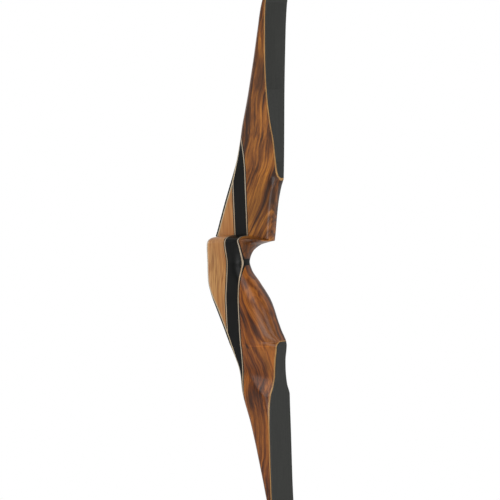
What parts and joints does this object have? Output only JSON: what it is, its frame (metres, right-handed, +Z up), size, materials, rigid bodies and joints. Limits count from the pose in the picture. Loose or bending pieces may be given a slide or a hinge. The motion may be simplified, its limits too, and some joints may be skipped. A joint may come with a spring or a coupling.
{
  "type": "recurve bow",
  "caption": "Right-handed laminated recurve bow, unstrung, with a carved grip, crowned arrow shelf, cut-past-centre sight window, black accent stripe and sprung recurved limbs.",
  "frame": {"origin": "deepest point of the grip's throat, on the bow's centreline", "axes": "+Z up the bow towards the upper limb, +Y towards the target (the back), -Y towards the archer (the belly), -X the archer's left, which is the sight-window side"},
  "size_m": [0.0426, 0.1362, 1.4872],
  "materials": {
    "figured_wood": "gloss lacquer over figured brown wood",
    "back_wood": "gloss lacquer over light tan-brown wood",
    "black_stripe": "gloss lacquer over black-dyed wood",
    "pale_pinstripe": "gloss lacquer over pale veneer",
    "pale_lamination": "gloss lacquer over pale wood",
    "tan_lamination": "gloss lacquer over tan wood",
    "belly_glass": "satin charcoal glass-fibre laminate",
    "back_glass": "gloss black glass-fibre laminate",
    "tip_overlay": "polished black laminate"
  },
  "bodies": {
    "riser": {"riser_upper_block": "figured_wood", "riser_lower_block": "figured_wood", "riser_back_block": "back_wood", "accent_core": "black_stripe", "belly_black_veneer": "black_stripe", "belly_pale_veneer": "pale_pinstripe", "back_pale_veneer": "pale_pinstripe", "back_black_veneer": "black_stripe", "riser_back_lamination": "pale_lamination", "riser_back_glass": "back_glass", "upper_ramp_lamination": "tan_lamination", "upper_ramp_glass": "belly_glass", "lower_ramp_lamination": "tan_lamination", "lower_ramp_glass": "belly_glass"},
    "upper_limb": {"upper_limb_belly_glass": "belly_glass", "upper_limb_belly_lamination": "tan_lamination", "upper_limb_back_lamination": "pale_lamination", "upper_limb_back_glass": "back_glass", "upper_tip_wedge": "figured_wood", "upper_tip_overlay": "tip_overlay"},
    "lower_limb": {"lower_limb_belly_glass": "belly_glass", "lower_limb_belly_lamination": "tan_lamination", "lower_limb_back_lamination": "pale_lamination", "lower_limb_back_glass": "back_glass", "lower_tip_wedge": "figured_wood", "lower_tip_overlay": "tip_overlay"}
  },
  "joints": [
    {"name": "upper_limb_flex", "type": "hinge", "parent": "riser", "child": "upper_limb", "pos_m": [0, -0.0434, 0.308], "axis": [1, 0, 0], "range_deg": [0, 48], "stiffness_Nm_per_rad": 105},
    {"name": "lower_limb_flex", "type": "hinge", "parent": "riser", "child": "lower_limb", "pos_m": [0, -0.0535, -0.296], "axis": [-1, 0, 0], "range_deg": [0, 48], "stiffness_Nm_per_rad": 105}
  ]
}
